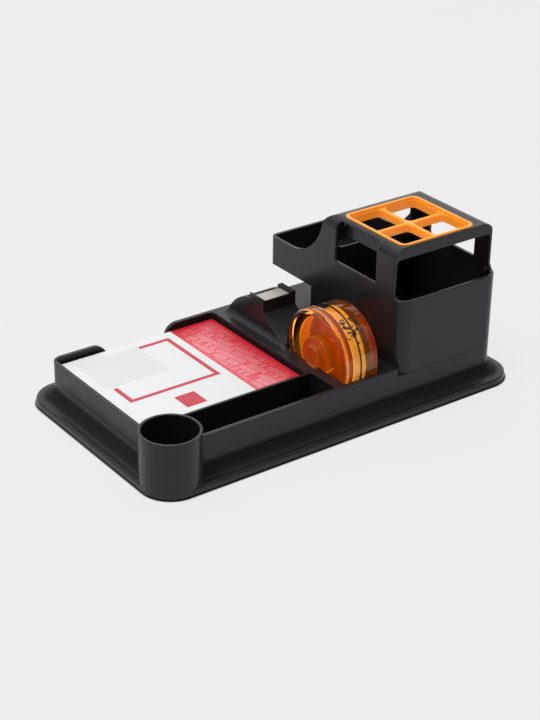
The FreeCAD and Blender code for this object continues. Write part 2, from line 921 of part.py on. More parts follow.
def ballast_weight():
    x, y = ballast_place()
    half_x = ballast_width / 2
    half_y = ballast_depth / 2
    return block(x - half_x, x + half_x, y - half_y, y + half_y, plate_top, deck_under - ballast_gap)


def rubber_foot(side_x, side_y):
    x = side_x * (base_length / 2 - rubber_inset)
    y = side_y * (base_width / 2 - rubber_inset)
    return post(x, y, 0, rubber_height, rubber_radius)


outside = outer_mass()
export("base_shell", base_shell(outside))
export("tower_shell", tower_shell())
export("pen_grid", pen_grid())

wheel_seam = (wheel_left + wheel_right) / 2
export("wheel_left_half", wheel_half(wheel_left, wheel_seam, near_recess))
export("wheel_right_half", wheel_half(wheel_right, wheel_seam, far_recess))
export("wheel_label", wheel_label())
export("spindle_core", spindle_core())
export("spindle_cap", spindle_cap())

export("blade_holder", blade_holder())
export("cutter_blade", cutter_blade())

backing_top = floor_top + backing_thickness
sheets_top = backing_top + sheets_thickness
export("pad_backing", pad_layer(floor_top, backing_thickness))
export("pad_sheets", pad_layer(backing_top, sheets_thickness))
export("pad_cover", pad_layer(sheets_top, cover_thickness))

export("drawer_tray", drawer_tray())
export("drawer_front", drawer_front(outside))

export("bottom_plate", bottom_plate())
export("ballast_weight", ballast_weight())
export("foot_front_left", rubber_foot(-1, -1))
export("foot_front_right", rubber_foot(1, -1))
export("foot_rear_left", rubber_foot(-1, 1))
export("foot_rear_right", rubber_foot(1, 1))
export("base_screws", base_screws())
export("tower_screws", tower_screws())
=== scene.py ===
import json
import math
import random

import bmesh
import bpy
from bpy.props import FloatProperty, FloatVectorProperty, IntProperty, PointerProperty
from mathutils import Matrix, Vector


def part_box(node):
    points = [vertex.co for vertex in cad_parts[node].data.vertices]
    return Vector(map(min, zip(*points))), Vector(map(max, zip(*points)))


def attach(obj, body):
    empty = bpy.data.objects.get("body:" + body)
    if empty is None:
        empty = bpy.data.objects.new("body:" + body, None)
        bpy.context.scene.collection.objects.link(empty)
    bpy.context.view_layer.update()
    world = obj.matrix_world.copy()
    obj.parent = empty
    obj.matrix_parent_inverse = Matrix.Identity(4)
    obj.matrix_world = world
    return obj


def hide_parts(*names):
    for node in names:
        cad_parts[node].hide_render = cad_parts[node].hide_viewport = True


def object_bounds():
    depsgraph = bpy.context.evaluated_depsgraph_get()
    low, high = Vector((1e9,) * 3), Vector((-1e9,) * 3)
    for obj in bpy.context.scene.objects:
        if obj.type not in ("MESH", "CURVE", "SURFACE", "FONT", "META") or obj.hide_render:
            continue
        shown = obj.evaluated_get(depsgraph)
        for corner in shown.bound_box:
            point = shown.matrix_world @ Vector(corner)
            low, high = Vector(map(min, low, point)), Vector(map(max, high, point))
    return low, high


bl_info = {
    "name": "Desk Organizer with Tape Wheel",
    "version": (1, 0, 0),
    "blender": (4, 5, 0),
    "location": "3D View > Sidebar > Organizer",
    "description": "Desk organizer with shells, pen grid, tape wheel, cutter and note pad",
    "category": "Object",
}

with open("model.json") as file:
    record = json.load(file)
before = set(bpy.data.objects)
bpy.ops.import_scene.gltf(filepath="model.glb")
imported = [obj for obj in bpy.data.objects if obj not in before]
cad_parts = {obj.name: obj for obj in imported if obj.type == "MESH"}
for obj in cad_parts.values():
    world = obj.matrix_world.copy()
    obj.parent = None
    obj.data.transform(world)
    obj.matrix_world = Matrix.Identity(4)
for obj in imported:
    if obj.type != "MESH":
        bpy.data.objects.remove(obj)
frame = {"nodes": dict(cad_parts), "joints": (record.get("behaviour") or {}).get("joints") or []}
cad_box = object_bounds()
MM = 0.001
TINY = 1e-6

# Where the recess wall has rings, from its foot to its mouth; the fine ribs fade out at both ends.
RIB_SHARES = (0.0, 0.12, 0.5, 0.88, 1.0)
# Part of a sheet's rise that paper fills, so that a fine gap shows between sheets.
SHEET_FILL = 0.94

# Areas of the pad's cover, in millimetres from its left front corner: left, right, front and back.
GREY_FIELD = (7.0, 49.6, 52.8, 88.5)
SMALL_BLOCK = (33.4, 46.9, 9.3, 23.4)
OPEN_FRAME = (10.2, 71.4, 31.8, 87.3)
OPEN_FRAME_LINE = 2.9
OPEN_FRAME_LEFT_END = 51.0
OPEN_FRAME_BACK_START = 49.8
BAND_LEFT = 76.9
BAND_DASHES = (79.4, 105.0, 2.5, 90.5)


def colour_property(name, description, default):
    return FloatVectorProperty(name=name, description=description, default=default, subtype="COLOR",
                               size=3, min=0.0, max=1.0)


def length_property(name, description, default):
    return FloatProperty(name=name, description=description, default=default, unit="LENGTH",
                         subtype="DISTANCE", min=0.0)


class ShellSettings(bpy.types.PropertyGroup):
    """Black moulded plastic of the base, the tower, the drawer and the blade holder."""

    colour: colour_property("Colour", "Colour of the black plastic", (0.018, 0.018, 0.0205))
    roughness: FloatProperty(name="Roughness", description="Roughness of the moulded surface",
                             default=0.3, subtype="FACTOR", min=0.0, max=1.0)
    gloss: FloatProperty(name="Gloss", description="Weight of the smoother skin over the grain",
                         default=0.05, subtype="FACTOR", min=0.0, max=1.0)
    cloud_size: length_property("Cloud size", "Width of the slow changes of colour and sheen", 30 * MM)
    rub_size: length_property("Rub size", "Width of the faint rub marks", 6 * MM)
    grain_size: length_property("Grain size", "Width of one grain of the moulded texture", 0.45 * MM)
    grain_height: length_property("Grain height", "Height of the moulded texture", 0.004 * MM)
    edge_radius: length_property("Edge radius", "Rounding of the moulded edges", 0.8 * MM)
    # On the foot's flare the plastic is rougher, and its colour is darkened as painted shade.
    flare_low: length_property("Flare low", "Height at which the foot's dull flare starts", 4.2 * MM)
    flare_high: length_property("Flare high", "Height at which the foot's dull flare ends", 20.0 * MM)
    flare_fade_low: length_property("Flare fade low", "How soon the dull flare sets in", 1.5 * MM)
    flare_fade_high: length_property("Flare fade high", "How soon the dull flare ends", 8 * MM)
    # Painted shade: how much darker the flare's colour is made.
    flare_painted_shade: FloatProperty(name="Flare darkness", description="How much darker the flare's plastic is",
                              default=0.7, subtype="FACTOR", min=0.0, max=1.0)
    flare_roughness: FloatProperty(name="Flare roughness", description="Roughness of the foot's flare",
                                   default=0.85, subtype="FACTOR", min=0.0, max=1.0)


class GridSettings(bpy.types.PropertyGroup):
    """Orange grid that keeps the pens apart."""

    colour: colour_property("Colour", "Colour of the orange plastic", (1.0, 0.37, 0.03))
    # Painted glow: emission that brightens the orange plastic.
    painted_glow: FloatProperty(name="Glow", description="Light that the plastic carries inside it",
                        default=0.3, min=0.0)
    rim: length_property("Rim", "Width of the frame round the cells", 2.5 * MM)
    step: length_property("Step", "How far the frame narrows above the cross", 0.4 * MM)
    bar: length_property("Bar", "Width of the cross's bars", 3.0 * MM)
    bar_drop: length_property("Bar drop", "How far the cross lies under the frame's top", 1.8 * MM)
    bar_round: length_property("Bar round", "Rounding of the cross's top edges", 1.2 * MM)
    rim_soft: FloatProperty(name="Rim softness", description="Share of the step that the cells widen by",
                            default=0.6, subtype="FACTOR", min=0.0, max=1.0)
    cell_radius: length_property("Cell radius", "Rounding of the cells' corners in plan", 3.0 * MM)
    corner_radius: length_property("Corner radius", "Rounding of the frame's corners in plan", 5.0 * MM)
    edge_radius: length_property("Edge radius", "Rounding of the frame's top edges", 0.7 * MM)
    lip_height: length_property("Lip height", "Height of the lip over the tower", 0.8 * MM)
    overlap: length_property("Overlap", "Reach of the lip over the hole's edge", 1.1 * MM)


class WheelSettings(bpy.types.PropertyGroup):
    """Clear amber tape wheel on its hub, with the pale sleeve inside its rim."""

    colour: colour_property("Colour", "Tint of the clear amber plastic", (0.96, 0.47, 0.07))
    hub_colour: colour_property("Hub colour", "Tint of the hub and the webs", (0.95, 0.25, 0.006))
    cloud: FloatProperty(name="Cloudiness", description="How cloudy the hub and the webs are",
                         default=0.22, subtype="FACTOR", min=0.0, max=1.0)
    # Painted glow: emission in the cloudy hub and webs.
    cloudy_painted_glow: FloatProperty(name="Cloudy glow", description="Light that the cloudy amber carries inside it",
                              default=0.035, min=0.0)
    roughness: FloatProperty(name="Roughness", description="Roughness of the polished amber",
                             default=0.06, subtype="FACTOR", min=0.0, max=1.0)
    clear_fade: length_property("Clear fade", "How soon the cloudy webs turn clear", 1.5 * MM)
    rim: length_property("Rim", "Wall of the rim", 2.8 * MM)
    edge_radius: length_property("Edge radius", "Rounding of the rim's outer edges", 1.3 * MM)
    draft: length_property("Draft", "How much the recess narrows on its way in", 3.2 * MM)
    near_recess: length_property("Near recess", "Depth of the recess on the note pad's side", 5.7 * MM)
    far_recess: length_property("Far recess", "Depth of the recess on the tower's side", 2.5 * MM)
    web: length_property("Web", "Thickness of the two webs", 1.8 * MM)
    bore: length_property("Bore", "Radius of the hub's bore", 5.05 * MM)
    hub_wall: length_property("Hub wall", "Wall of the tube round the bore", 2.6 * MM)
    rib_count: IntProperty(name="Ribs", description="Fine ribs round each recess", default=96, min=0)
    rib_height: length_property("Rib height", "Height of the fine ribs", 0.16 * MM)


class HubSettings(bpy.types.PropertyGroup):
    """Hub on which the wheel turns."""

    shaft: length_property("Shaft", "Radius of the shaft in the wheel's bore", 5.0 * MM)
    drum: length_property("Drum", "Radius of the round boss in the recess", 11.8 * MM)
    drum_proud: length_property("Boss height", "How far the boss stands out of the wheel", 0.4 * MM)
    groove: length_property("Groove", "Outer radius of the ring groove", 9.7 * MM)
    groove_width: length_property("Groove width", "Width of the ring groove", 0.8 * MM)
    groove_depth: length_property("Groove depth", "Depth of the ring groove", 0.5 * MM)
    stub: length_property("Stub", "Radius of the stub that lies in the cradle", 7.0 * MM)
    stub_wall: length_property("Stub wall", "Wall of the stub that lies in the cradle", 1.5 * MM)
    stub_hollow: length_property("Stub hollow", "Depth of the hollow in the stub", 1.2 * MM)
    play: length_property("Play", "Gap between the boss and the web", 0.2 * MM)
    edge_radius: length_property("Edge radius", "Rounding of the hub's edges", 0.35 * MM)


class SleeveSettings(bpy.types.PropertyGroup):
    """Printed sleeve inside the wheel's rim."""

    colour: colour_property("Colour", "Colour of the sleeve", (1.0, 0.9, 0.62))
    # Painted glow: emission that stands in for light reaching the sleeve through the clear rim.
    painted_glow: FloatProperty(name="Glow", description="Light that reaches the sleeve through the clear rim",
                        default=0.5, min=0.0)
    print_colour: colour_property("Print colour", "Colour of its plain marks", (0.035, 0.018, 0.008))
    # Painted shade on the sleeve's far end, past the seam.
    shade_colour: colour_property("Shaded colour", "Colour of its shaded end", (0.13, 0.085, 0.03))
    shade_start: length_property("Shaded end", "How far past the seam the shaded end starts", 3.6 * MM)
    shade_fade: length_property("Shade fade", "How soon the shaded end sets in", 0.5 * MM)
    blotch_size: length_property("Blotch size", "Width of the dark blotches", 3.6 * MM)
    dash_size: length_property("Dash size", "Width of the fine dashes", 1.6 * MM)
    rows_per_radian: FloatProperty(name="Rows", description="Rows of fine dashes in one radian",
                                   default=24.0, min=0.0)


class PadSettings(bpy.types.PropertyGroup):
    """Note pad with its printed cover. Places on the cover run from the pad's left front corner."""

    paper: colour_property("Paper", "Colour of the cover's paper", (0.86, 0.87, 0.87))
    grey: colour_property("Grey", "Colour of the grey field", (0.78, 0.79, 0.8))
    line: colour_property("Line", "Colour of the frame line and the small block", (0.62, 0.06, 0.085))
    pink: colour_property("Pink", "Colour of the band", (0.88, 0.11, 0.15))
    red: colour_property("Red", "Colour of the band's edge", (0.66, 0.003, 0.022))
    board: colour_property("Board", "Colour of the backing board", (0.42, 0.38, 0.33))
    edge_start: FloatProperty(name="Edge start", description="Millimetres from the edge where red ends",
                              default=11.0, min=0.0)
    edge_end: FloatProperty(name="Edge end", description="Millimetres from the edge where pink begins",
                            default=30.0, min=0.0)
    edge_wave: FloatProperty(name="Edge wave", description="Millimetres by which red and pink wander",
                             default=14.0, min=0.0)
    sheet_count: IntProperty(name="Sheets", description="Sheets that show in the stack", default=56, min=1)
    seed: IntProperty(name="Seed", description="Start of the random slips", default=7)
    sheet_slip: length_property("Slip", "How far a sheet lies out of line", 0.09 * MM)
    corner_radius: length_property("Corner radius", "Rounding of the sheets' corners", 0.6 * MM)


class CutterSettings(bpy.types.PropertyGroup):
    """Toothed steel blade."""

    colour: colour_property("Colour", "Colour of the steel", (0.5, 0.47, 0.43))
    roughness: FloatProperty(name="Roughness", description="Roughness of the rolled steel",
                             default=0.34, subtype="FACTOR", min=0.0, max=1.0)


class UndersideSettings(bpy.types.PropertyGroup):
    """Feet, screws and ballast."""

    foot_colour: colour_property("Foot colour", "Colour of the rubber feet", (0.02, 0.02, 0.02))
    screw_colour: colour_property("Screw colour", "Colour of the zinc plated screws", (0.55, 0.55, 0.55))
    ballast_colour: colour_property("Ballast colour", "Colour of the steel ballast", (0.25, 0.24, 0.23))


class StageSettings(bpy.types.PropertyGroup):
    """Camera, floor and light."""

    camera_place: FloatVectorProperty(name="Camera place", description="Where the camera stands",
                                      default=(-0.54908, -0.73588, 0.50009), subtype="TRANSLATION", size=3)
    camera_turn: FloatVectorProperty(name="Camera turn", description="How the camera is turned",
                                     default=tuple(math.radians(a) for a in (62.3385, -0.8034, -36.1248)),
                                     subtype="EULER", size=3)
    lens: FloatProperty(name="Lens", description="Focal length of the camera in millimetres",
                        default=87.125, min=1.0)
    floor_reach: length_property("Floor reach", "Half the floor's side", 6.0)
    floor_colour: colour_property("Floor colour", "Colour of the pale floor", (0.1, 0.1, 0.1))
    floor_glow: FloatProperty(name="Floor glow", description="Light that the floor gives by itself",
                              default=0.75, min=0.0)
    # Painted shadow: a patch under and round the base where the floor's glow is cut out.
    foot_corner: length_property("Foot corner", "Rounding of the shaded patch under the base", 18.5 * MM)
    shade_reach: length_property("Shade reach", "Width of the soft shade round the base", 1.3 * MM)
    box_side: length_property("Light side", "Side of the soft light over the object", 0.7)
    box_place: FloatVectorProperty(name="Light place", description="Where the soft light hangs",
                                   default=(-0.45, 0.05, 1.3), subtype="TRANSLATION", size=3)
    box_power: FloatProperty(name="Light power", description="Power of the soft light in watts",
                             default=9.0, min=0.0)
    far_side: FloatVectorProperty(name="Far side", description="Direction of the bright backdrop",
                                  default=(0.54, 0.72, 0.44), subtype="DIRECTION", size=3)
    far_sky: FloatProperty(name="Far sky", description="Brightness of the backdrop", default=1.1, min=0.0)
    near_sky: FloatProperty(name="Near sky", description="Brightness of the room on the camera's side",
                            default=0.12, min=0.0)


class OrganizerSettings(bpy.types.PropertyGroup):
    """Everything that a user may change."""

    shell: PointerProperty(type=ShellSettings, name="Shells")
    grid: PointerProperty(type=GridSettings, name="Pen grid")
    wheel: PointerProperty(type=WheelSettings, name="Tape wheel")
    hub: PointerProperty(type=HubSettings, name="Hub")
    sleeve: PointerProperty(type=SleeveSettings, name="Sleeve")
    pad: PointerProperty(type=PadSettings, name="Note pad")
    cutter: PointerProperty(type=CutterSettings, name="Cutter")
    underside: PointerProperty(type=UndersideSettings, name="Underside")
    stage: PointerProperty(type=StageSettings, name="Stage")


class Finish:
    """A material being made: its Principled shader, and short calls for the nodes behind it."""

    def __init__(self, name, sockets):
        self.material = bpy.data.materials.new(name)
        self.material.use_nodes = True
        self.tree = self.material.node_tree
        self.shader = self.tree.nodes["Principled BSDF"]
        for socket, value in sockets.items():
            self.shader.inputs[socket].default_value = value
        self.place = self.add("TexCoord").outputs["Object"]

    def add(self, kind, inputs=None, **settings):
        """New shader node with its settings, and values or sockets on its inputs."""
        node = self.tree.nodes.new("ShaderNode" + kind)
        for name, value in settings.items():
            setattr(node, name, value)
        for socket, value in (inputs or {}).items():
            self.feed(node.inputs[socket], value)
        return node

    def feed(self, socket, value):
        if isinstance(value, bpy.types.NodeSocket):
            self.tree.links.new(value, socket)
        else:
            socket.default_value = value

    def set(self, socket, value):
        self.feed(self.shader.inputs[socket], value)

    def math(self, operation, *values, clamp=False):
        return self.add("Math", dict(enumerate(values)), operation=operation, use_clamp=clamp).outputs[0]

    def product(self, *values):
        """Values multiplied one after another."""
        result = values[0]
        for value in values[1:]:
            result = self.math("MULTIPLY", result, value)
        return result

    def above(self, value, limit):
        """One where value is over the limit."""
        return self.math("GREATER_THAN", value, limit)

    def between(self, value, low, high):
        """One where value lies between low and high."""
        return self.product(self.above(value, low), self.math("LESS_THAN", value, high))

    def distance(self, across, up):
        """Distance of a point that lies so far across and so far up."""
        return self.math("SQRT", self.math("ADD", self.product(across, across), self.product(up, up)))

    def mix(self, share, low, high):
        """Colour between low and high."""
        node = self.add("Mix", data_type="RGBA")
        for index, value in ((0, share), (6, low), (7, high)):
            self.feed(node.inputs[index], value)
        return node.outputs[2]

    def clouded(self, share, colour, darker, lighter):
        """Colour that changes with share from the darker to the lighter factor."""
        return self.mix(share, tinted(colour, darker), tinted(colour, lighter))

    def noise(self, size, detail=2.0, stretch=(1.0, 1.0, 1.0), distortion=0.0):
        """Noise with features about as wide as size."""
        place = self.add("Mapping", {"Vector": self.place, "Scale": stretch}).outputs[0]
        inputs = {"Vector": place, "Scale": 1.0 / size, "Detail": detail, "Distortion": distortion}
        return self.add("TexNoise", inputs).outputs["Fac"]

    def ramp(self, value, start, end, low=0.0, high=1.0, kind="LINEAR"):
        """Value taken from start..end to low..high, and held there."""
        inputs = {"Value": value, "From Min": start, "From Max": end, "To Min": low, "To Max": high}
        return self.add("MapRange", inputs, interpolation_type=kind).outputs[0]

    def axes(self):
        """The three coordinates as sockets."""
        return self.add("SeparateXYZ", {0: self.place}).outputs

    def relief(self, height, distance, edge_radius=0.0):
        """Surface raised by height times distance, on edges rounded by edge_radius."""
        bump = self.add("Bump", {"Height": height, "Distance": distance, "Strength": 1.0})
        if edge_radius:
            bevel = self.add("Bevel", {"Radius": edge_radius}, samples=6)
            self.feed(bump.inputs["Normal"], bevel.outputs[0])
        self.set("Normal", bump.outputs[0])


def opaque(colour):
    return (*colour, 1.0)


def tinted(colour, factor):
    return tuple(min(1.0, channel * factor) for channel in colour) + (1.0,)


def flare_mask(finish, settings):
    """One on the sloping flare of the foot, zero on walls and outside the flare's heights."""
    height = finish.axes()[2]
    normal = finish.add("NewGeometry").outputs["Normal"]
    upward = finish.add("SeparateXYZ", {0: normal}).outputs[2]
    slope = finish.ramp(upward, start=0.05, end=0.4)
    over = finish.ramp(height, settings.flare_low, settings.flare_low + settings.flare_fade_low)
    fade_start = settings.flare_high - settings.flare_fade_high
    under = finish.ramp(height, settings.flare_high, fade_start, kind="SMOOTHSTEP")
    return finish.product(slope, over, under)


def black_plastic(settings):
    """Fine grained black plastic with slow changes of sheen, faint rub marks, and a rougher flare darkened
    with painted shade.
    """
    finish = Finish("black_plastic", {
        "IOR": 1.38, "Specular Tint": (0.92, 0.92, 1.0, 1.0), "Coat Weight": settings.gloss,
        "Coat Roughness": 0.16, "Coat IOR": 1.45,
    })
    flare = flare_mask(finish, settings)
    cloud = finish.noise(settings.cloud_size, detail=3.0)
    colour = finish.clouded(cloud, settings.colour, darker=0.8, lighter=1.3)
    # Painted shade: the flare's colour is darkened towards black.
    painted_flare_shade_colour = tinted(settings.colour, 1.0 - settings.flare_painted_shade)
    finish.set("Base Color", finish.mix(flare, colour, painted_flare_shade_colour))
    rub = finish.noise(settings.rub_size, detail=4.0, stretch=(1.0, 0.25, 1.0))
    sheen = finish.ramp(cloud, 0.3, 0.7, low=settings.roughness - 0.03, high=settings.roughness + 0.04)
    worn = finish.math("ADD", sheen, finish.ramp(rub, 0.62, 0.8, low=0.0, high=0.08))
    finish.set("Roughness", finish.math("MAXIMUM", worn, finish.product(flare, settings.flare_roughness)))
    grain = finish.noise(settings.grain_size)
    finish.relief(grain, settings.grain_height, settings.edge_radius)
    return finish.material


def orange_plastic(settings):
    """Bright orange plastic that lets a little light through, brightened by a painted glow."""
    finish = Finish("orange_plastic", {
        "Roughness": 0.3, "IOR": 1.5, "Subsurface Weight": 0.6, "Subsurface Scale": 2.0 * MM,
        # Emission colour and strength give the painted glow.
        "Subsurface Radius": (1.0, 0.45, 0.12), "Emission Color": (1.0, 0.26, 0.01, 1.0),
        "Emission Strength": settings.painted_glow,
    })
    cloud = finish.noise(12 * MM)
    finish.set("Base Color", finish.clouded(cloud, settings.colour, darker=0.94, lighter=1.04))
    finish.relief(finish.noise(0.5 * MM), distance=0.004 * MM)
    return finish.material


def from_axis(finish, axis):
    """Distance from the wheel's axis."""
    y, z = finish.axes()[1:]
    return finish.distance(finish.math("SUBTRACT", y, axis[0]), finish.math("SUBTRACT", z, axis[1]))


def amber_plastic(name, settings, axis, clear_radius):
    """Amber with faint flow lines, cloudy up to the clear radius from the axis and clear outside it, with a
    painted glow in its cloudy part.
    """
    finish = Finish(name, {
        "IOR": 1.49, "Roughness": settings.roughness, "Emission Color": opaque(settings.hub_colour),
    })
    clear = finish.ramp(from_axis(finish, axis), clear_radius - settings.clear_fade, clear_radius)
    finish.set("Base Color", finish.mix(clear, opaque(settings.hub_colour), opaque(settings.colour)))
    finish.set("Transmission Weight", finish.ramp(clear, 0.0, 1.0, low=1.0 - settings.cloud, high=1.0))
    # Painted glow: the cloudy part emits the hub's tint.
    finish.set("Emission Strength", finish.ramp(clear, 0.0, 1.0, low=settings.cloudy_painted_glow, high=0.0))
    flow = finish.noise(5 * MM, stretch=(0.4, 1.0, 1.0), distortion=0.6)
    finish.relief(flow, distance=0.03 * MM)
    return finish.material


def sleeve_paper(settings, axis):
    """Pale sleeve with plain dark marks on its outside: blotches, then rows of fine dashes; its far end
    carries painted shade and the whole sleeve a painted glow.
    """
    finish = Finish("sleeve_paper", {"Roughness": 0.55})
    along, y, z = finish.axes()
    turn = finish.math("ARCTAN2", finish.math("SUBTRACT", z, axis[1]), finish.math("SUBTRACT", y, axis[0]))
    turn = finish.math("PINGPONG", finish.math("ADD", turn, 2 * math.pi), math.pi)

    blotch_limit, blotch_start, blotch_end = 0.55, 1.95, 2.6
    noise = finish.noise(settings.blotch_size, detail=3.0, distortion=1.2)
    blotches = finish.product(finish.above(noise, blotch_limit),
                              finish.between(turn, blotch_start, blotch_end))

    row_limit, dash_limit, dash_weight, dash_start, dash_end = 0.3, 0.47, 0.45, 2.62, 3.0
    row = finish.math("PINGPONG", finish.product(turn, settings.rows_per_radian), 0.5)
    noise = finish.noise(settings.dash_size, detail=1.0)
    dashes = finish.product(finish.above(row, row_limit), finish.above(noise, dash_limit), dash_weight,
                            finish.between(turn, dash_start, dash_end))

    skin_depth = 0.3 * MM
    outer_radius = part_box("wheel_label")[1].z - axis[1]
    outside = finish.above(from_axis(finish, axis), outer_radius - skin_depth)
    marks = finish.product(finish.math("ADD", blotches, dashes, clamp=True), outside)
    # Painted shade: past the seam the sleeve is coloured dark.
    shade_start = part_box("wheel_left_half")[1].x + settings.shade_start
    shaded = finish.ramp(along, shade_start, shade_start + settings.shade_fade)
    ground = finish.mix(shaded, opaque(settings.colour), opaque(settings.shade_colour))
    colour = finish.mix(marks, ground, opaque(settings.print_colour))
    finish.set("Base Color", colour)
    # Painted glow: the sleeve emits its own colour.
    finish.set("Emission Color", colour)
    finish.set("Emission Strength", settings.painted_glow)
    return finish.material


def brushed_steel(colour, roughness):
    """Rolled steel with fine lines along X."""
    finish = Finish("blade_steel", {"Metallic": 1.0})
    lines = finish.noise(0.35 * MM, detail=3.0, stretch=(0.04, 1.0, 1.0))
    finish.set("Base Color", finish.clouded(lines, colour, darker=0.8, lighter=1.2))
    finish.set("Roughness", finish.ramp(lines, 0.3, 0.7, low=roughness - 0.06, high=roughness + 0.1))
    finish.relief(lines, distance=0.006 * MM, edge_radius=0.08 * MM)
    return finish.material


def sheet_paper(settings):
    """Uncoated paper, with the cut edges of the stack a little darker in lines."""
    finish = Finish("sheet_paper", {"Roughness": 0.75})
    fibre = finish.noise(0.6 * MM, detail=4.0)
    lines = finish.noise(0.35 * MM, stretch=(0.02, 0.02, 1.0))
    shade = finish.product(finish.ramp(lines, start=0.35, end=0.7), 0.35)
    colour = finish.clouded(fibre, settings.paper, darker=0.94, lighter=1.0)
    finish.set("Base Color", finish.mix(shade, colour, tinted(settings.paper, factor=0.6)))
    finish.relief(fibre, distance=0.01 * MM)
    return finish.material


def cover_dashes(finish, x, y):
    """Rows of plain dashes in the cover's band; x and y are in millimetres."""
    rows_per_mm, columns_per_mm, slant = 0.62, 0.2, 0.18
    row_gap, column_gap, missing = 0.27, 0.07, 0.18
    row = finish.product(y, rows_per_mm)
    column = finish.product(finish.math("ADD", x, finish.product(y, slant)), columns_per_mm)
    cell = finish.add("CombineXYZ", {0: finish.math("FLOOR", row), 1: finish.math("FLOOR", column)})
    chance = finish.add("TexWhiteNoise", {"Vector": cell.outputs[0]}, noise_dimensions="3D").outputs["Value"]
    return finish.product(finish.above(finish.math("PINGPONG", row, 0.5), row_gap),
                          finish.above(finish.math("PINGPONG", column, 0.5), column_gap),
                          finish.above(chance, missing), area_mask(finish, x, y, BAND_DASHES))


def area_mask(finish, x, y, area):
    """One inside an area of the cover."""
    left, right, front, back = area
    return finish.product(finish.between(x, left, right), finish.between(y, front, back))


def cover_print(settings, low, high):
    """Coated cover: grey field, open frame line, small block, and a pink band with a red edge."""
    finish = Finish("cover_print", {
        "Roughness": 0.5, "Specular IOR Level": 0.3, "Coat Weight": 0.05, "Coat Roughness": 0.12,
    })
    x, y = finish.axes()[:2]
    x = finish.product(finish.math("SUBTRACT", x, low.x), 1 / MM)
    y = finish.product(finish.math("SUBTRACT", y, low.y), 1 / MM)
    width, depth = (high.x - low.x) / MM, (high.y - low.y) / MM
    fibre = finish.noise(0.7 * MM, detail=4.0)
    colour = finish.clouded(fibre, settings.paper, darker=0.985, lighter=1.0)

    left, right, front, back = OPEN_FRAME
    frame_sides = (
        (left, left + OPEN_FRAME_LINE, front, OPEN_FRAME_LEFT_END),
        (left, right, front, front + OPEN_FRAME_LINE),
        (right - OPEN_FRAME_LINE, right, front, back),
        (OPEN_FRAME_BACK_START, right, back - OPEN_FRAME_LINE, back),
    )
    for areas, paint in (((GREY_FIELD,), settings.grey), (frame_sides, settings.line),
                         ((SMALL_BLOCK,), settings.line)):
        mask = 0.0
        for area in areas:
            mask = finish.math("MAXIMUM", mask, area_mask(finish, x, y, area))
        colour = finish.mix(mask, colour, opaque(paint))

    from_edge = finish.math("MINIMUM", finish.math("SUBTRACT", width, x), finish.math("SUBTRACT", depth, y))
    wave = finish.product(finish.noise(16 * MM, detail=1.0), settings.edge_wave)
    pinkness = finish.ramp(finish.math("ADD", from_edge, wave), settings.edge_start, settings.edge_end)
    band_colour = finish.mix(pinkness, opaque(settings.red), opaque(settings.pink))
    dash_weight = finish.ramp(pinkness, 0.0, 1.0, low=0.14, high=0.5)
    dashes = finish.product(cover_dashes(finish, x, y), dash_weight)
    band_colour = finish.mix(dashes, band_colour, opaque(settings.paper))
    finish.set("Base Color", finish.mix(finish.above(x, BAND_LEFT), colour, band_colour))
    finish.relief(fibre, distance=0.004 * MM)
    return finish.material


def plain_finish(name, colour, roughness, metallic=0.0):
    """Simple grained finish for the pieces under the base."""
    finish = Finish(name, {"Metallic": metallic, "Roughness": roughness})
    cloud = finish.noise(2 * MM, detail=4.0)
    finish.set("Base Color", finish.clouded(cloud, colour, darker=0.75, lighter=1.25))
    finish.relief(cloud, distance=0.02 * MM, edge_radius=0.2 * MM)
    return finish.material


def set_finish(obj, material):
    obj.data.materials.clear()
    obj.data.materials.append(material)


def dress(nodes, material):
    """Gives carried-over CAD pieces their finish."""
    for name in nodes:
        set_finish(frame["nodes"][name], material)


def make_piece(name, bm, material, body, replaced, sharp=40.0):
    """Mesh object from bm, smooth up to the sharp angle, that rides on body and stands for CAD nodes."""
    mesh = bpy.data.meshes.new(name)
    bmesh.ops.recalc_face_normals(bm, faces=bm.faces)
    bm.to_mesh(mesh)
    bm.free()
    mesh.shade_smooth()
    mesh.set_sharp_from_angle(angle=math.radians(sharp))
    piece = bpy.data.objects.new(name, mesh)
    bpy.context.scene.collection.objects.link(piece)
    set_finish(piece, material)
    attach(piece, body)
    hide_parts(*replaced)


def rounded_loop(low, high, inset, radius, z, steps=8):
    """Points of a rectangle with rounded corners, drawn in by inset, at height z."""
    left, front = low[0] + inset, low[1] + inset
    right, back = high[0] - inset, high[1] - inset
    radius = max(radius - inset, TINY)
    points = []
    for x, y, start in ((right, front, -90), (right, back, 0), (left, back, 90), (left, front, 180)):
        centre_x = x - radius if x == right else x + radius
        centre_y = y - radius if y == back else y + radius
        for step in range(steps + 1):
            angle = math.radians(start + 90 * step / steps)
            across, up = radius * math.cos(angle), radius * math.sin(angle)
            points.append(Vector((centre_x + across, centre_y + up, z)))
    return points


def add_loop(bm, points):
    return [bm.verts.new(point) for point in points]


def skin(bm, lower, upper):
    """Quads between two closed loops with as many points."""
    count = len(lower)
    for index in range(count):
        after = (index + 1) % count
        bm.faces.new((lower[index], lower[after], upper[after], upper[index]))


def fill(bm, loops):
    """Flat cap between an outer loop and any loops inside it."""
    edges = []
    for loop in loops:
        for index, vertex in enumerate(loop):
            edge = bm.edges.get((vertex, loop[index - 1])) or bm.edges.new((vertex, loop[index - 1]))
            edges.append(edge)
    bmesh.ops.triangle_fill(bm, use_beauty=True, use_dissolve=False, edges=edges)


def stack_loops(bm, rows):
    """Skins a list of loops, each a list of points, and returns the first and the last."""
    made = [add_loop(bm, row) for row in rows]
    for lower, upper in zip(made, made[1:]):
        skin(bm, lower, upper)
    return made[0], made[-1]


